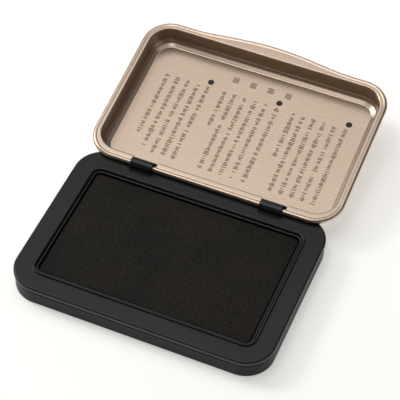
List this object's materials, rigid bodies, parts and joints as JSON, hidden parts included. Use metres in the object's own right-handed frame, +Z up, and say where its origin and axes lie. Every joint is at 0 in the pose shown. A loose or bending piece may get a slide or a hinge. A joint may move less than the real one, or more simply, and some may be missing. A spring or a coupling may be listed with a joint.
{
  "type": "ink pad",
  "caption": "Office ink pad: a low black rounded base with an inked cloth pad in its window, and a stamped champagne metal lid with a thumb tab, hinged open behind it on two snap clips.",
  "frame": {"origin": "centre of the base's underside, on the table", "axes": "+X along the base's long side, +Y from the front edge to the hinge, +Z up"},
  "size_m": [0.1339, 0.1804, 0.0282],
  "materials": {
    "black_plastic": "satin",
    "clip_plastic": "satin",
    "inked_felt": "matte",
    "inked_cloth": "matte",
    "champagne_metal": "satin"
  },
  "bodies": {
    "base": {"base_tray": "black_plastic", "top_frame": "black_plastic", "pad_dish": "black_plastic", "ink_reservoir": "inked_felt", "felt_pad": "inked_felt", "pad_cloth": "inked_cloth", "hinge_clip_left": "clip_plastic", "hinge_clip_right": "clip_plastic"},
    "lid": {"lid_shell": "champagne_metal"}
  },
  "joints": [
    {"name": "lid_hinge", "type": "hinge", "parent": "base", "child": "lid", "pos_m": [0, 0.043, 0.01295], "axis": [1, 0, 0], "range_deg": [0, 171.2]}
  ]
}
